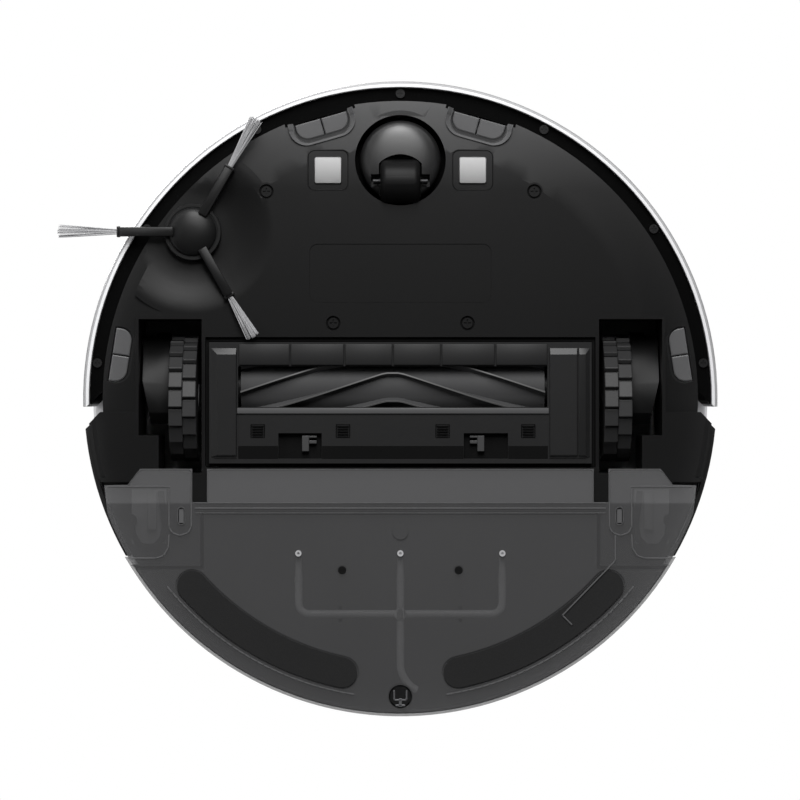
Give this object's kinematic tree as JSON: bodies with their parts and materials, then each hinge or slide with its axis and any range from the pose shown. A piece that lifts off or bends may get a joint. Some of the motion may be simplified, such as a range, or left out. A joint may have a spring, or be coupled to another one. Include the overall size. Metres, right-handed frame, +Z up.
{
  "type": "robot vacuum",
  "caption": "Round robot vacuum with a front bumper, drive wheels, caster, side brush, main brush with a guard, and a rear water tank.",
  "frame": {"origin": "middle of the round body, on the floor it stands on", "axes": "+Z up from the floor, -Y towards the front bumper, +X to the left-hand side as it drives"},
  "size_m": [0.3632, 0.35, 0.0965],
  "materials": {
    "white_shell": "smooth satin white",
    "black_shell": "fine texture",
    "dark_shell": "fine texture",
    "smoke": "smoked, semi-clear",
    "sensor": "tinted window",
    "contact": "bright strip",
    "steel": "plain",
    "screw": "blackened",
    "tyre": "moulded",
    "rubber": "soft",
    "grey_plastic": "plain",
    "bristle": "nylon strands",
    "hose": "semi-clear silicone",
    "strip": "hook and loop",
    "filter": "pleated",
    "clear_bin": "tinted",
    "board": "circuit board",
    "battery": "wrapped cells"
  },
  "bodies": {
    "body": {"chassis": "black_shell", "cliff_windows": "sensor", "charging_contacts": "contact", "chassis_screws": "screw", "side_wall": "white_shell", "caster_socket": "dark_shell", "side_brush_motor": "grey_plastic", "left_suspension_spring": "steel", "right_suspension_spring": "steel", "suspension_pins": "steel", "brush_bay": "dark_shell", "brush_bearings": "dark_shell", "brush_belt": "rubber", "brush_motor": "steel", "top_cover": "white_shell", "lidar_mount": "dark_shell", "turret_cover": "white_shell", "battery_pack": "battery", "main_board": "board", "bin_body": "clear_bin", "bin_filter": "filter", "fan_housing": "dark_shell", "water_pump": "grey_plastic"},
    "bumper": {"bumper_shell": "white_shell", "bumper_window": "sensor", "bumper_frame": "black_shell", "bumper_screws": "screw"},
    "caster": {"caster_fork": "dark_shell", "caster_axle": "steel"},
    "caster_roller": {"caster_wheel": "rubber"},
    "side_brush": {"side_brush_hub": "dark_shell", "side_brush_arms": "grey_plastic", "side_brush_bristles": "bristle"},
    "left_arm": {"left_gearbox": "dark_shell"},
    "left_wheel": {"left_tyre": "tyre", "left_rim": "grey_plastic"},
    "right_arm": {"right_gearbox": "dark_shell"},
    "right_wheel": {"right_tyre": "tyre", "right_rim": "grey_plastic"},
    "main_brush": {"brush_core": "grey_plastic", "brush_fins": "rubber"},
    "pulley": {"motor_pulley": "steel"},
    "guard": {"guard_frame": "dark_shell", "guard_flaps": "rubber"},
    "guard_latch_left": {"left_guard_latch": "dark_shell"},
    "guard_latch_right": {"right_guard_latch": "dark_shell"},
    "tank": {"tank_shell": "smoke", "tank_cover": "dark_shell", "mop_strips": "strip", "tank_plug": "dark_shell", "tank_screws": "screw", "tank_nozzles": "grey_plastic", "tank_hoses": "hose"},
    "tank_latch_left": {"left_tank_latch": "dark_shell"},
    "tank_latch_right": {"right_tank_latch": "dark_shell"},
    "lid": {"bin_lid": "white_shell"},
    "fan_wheel": {"impeller": "grey_plastic"},
    "scanner": {"lidar_rotor": "dark_shell"},
    "power": {"power_button": "white_shell"},
    "home": {"home_button": "white_shell"}
  },
  "joints": [
    {"name": "bumper_travel", "type": "slide", "parent": "body", "child": "bumper", "axis": [0, 1, 0], "range_m": [0, 0.004], "stiffness_N_per_m": 500, "springref_m": -0.003},
    {"name": "caster_swivel", "type": "hinge", "parent": "body", "child": "caster", "pos_m": [0, -0.1312, 0.02], "axis": [0, 0, 1], "continuous": true},
    {"name": "caster_roll", "type": "hinge", "parent": "caster", "child": "caster_roller", "pos_m": [0, -0.1196, 0.012], "axis": [1, 0, 0], "continuous": true},
    {"name": "side_brush_spin", "type": "hinge", "parent": "body", "child": "side_brush", "pos_m": [-0.1142, -0.0916, 0.01], "axis": [0, 0, 1], "continuous": true},
    {"name": "left_suspension", "type": "hinge", "parent": "body", "child": "left_arm", "pos_m": [-0.135, -0.031, 0.04], "axis": [1, 0, 0], "range_deg": [-28, 0], "stiffness_Nm_per_rad": 0.3, "springref_deg": -34.38},
    {"name": "right_suspension", "type": "hinge", "parent": "body", "child": "right_arm", "pos_m": [0.135, -0.031, 0.04], "axis": [1, 0, 0], "range_deg": [-28, 0], "stiffness_Nm_per_rad": 0.3, "springref_deg": -34.38},
    {"name": "left_wheel_roll", "type": "hinge", "parent": "left_arm", "child": "left_wheel", "pos_m": [-0.1196, 0, 0.035], "axis": [1, 0, 0], "continuous": true},
    {"name": "right_wheel_roll", "type": "hinge", "parent": "right_arm", "child": "right_wheel", "pos_m": [0.1196, 0, 0.035], "axis": [1, 0, 0], "continuous": true},
    {"name": "main_brush_spin", "type": "hinge", "parent": "body", "child": "main_brush", "pos_m": [0, -0.0065, 0.026], "axis": [1, 0, 0], "continuous": true},
    {"name": "motor_pulley_spin", "type": "hinge", "parent": "body", "child": "pulley", "pos_m": [0.095, -0.052, 0.026], "axis": [1, 0, 0], "continuous": true},
    {"name": "guard_removal", "type": "slide", "parent": "body", "child": "guard", "axis": [0, 0, -1], "range_m": [0, 0.03]},
    {"name": "left_guard_latch_slide", "type": "slide", "parent": "guard", "child": "guard_latch_left", "axis": [-1, 0, 0], "range_m": [0, 0.004], "stiffness_N_per_m": 300, "springref_m": -0.002},
    {"name": "right_guard_latch_slide", "type": "slide", "parent": "guard", "child": "guard_latch_right", "axis": [1, 0, 0], "range_m": [0, 0.004], "stiffness_N_per_m": 300, "springref_m": -0.002},
    {"name": "tank_removal", "type": "slide", "parent": "body", "child": "tank", "axis": [0, 1, 0], "range_m": [0, 0.15]},
    {"name": "left_tank_latch_slide", "type": "slide", "parent": "tank", "child": "tank_latch_left", "axis": [1, 0, 0], "range_m": [0, 0.004], "stiffness_N_per_m": 300, "springref_m": -0.002},
    {"name": "right_tank_latch_slide", "type": "slide", "parent": "tank", "child": "tank_latch_right", "axis": [-1, 0, 0], "range_m": [0, 0.004], "stiffness_N_per_m": 300, "springref_m": -0.002},
    {"name": "lid_hinge", "type": "hinge", "parent": "body", "child": "lid", "pos_m": [0, 0.0424, 0.0787], "axis": [1, 0, 0], "range_deg": [0, 75]},
    {"name": "impeller_spin", "type": "hinge", "parent": "body", "child": "fan_wheel", "pos_m": [-0.104, 0.086, 0.04], "axis": [0, 0, 1], "continuous": true},
    {"name": "scanner_spin", "type": "hinge", "parent": "body", "child": "scanner", "pos_m": [0, -0.045, 0.08], "axis": [0, 0, 1], "continuous": true},
    {"name": "power_press", "type": "slide", "parent": "body", "child": "power", "axis": [0, 0, -1], "range_m": [0, 0.001], "stiffness_N_per_m": 600, "springref_m": -0.0005},
    {"name": "home_press", "type": "slide", "parent": "body", "child": "home", "axis": [0, 0, -1], "range_m": [0, 0.001], "stiffness_N_per_m": 600, "springref_m": -0.0005}
  ],
  "couplings": [
    {"joint": "motor_pulley_spin", "follows": "main_brush_spin", "ratio": 1}
  ]
}
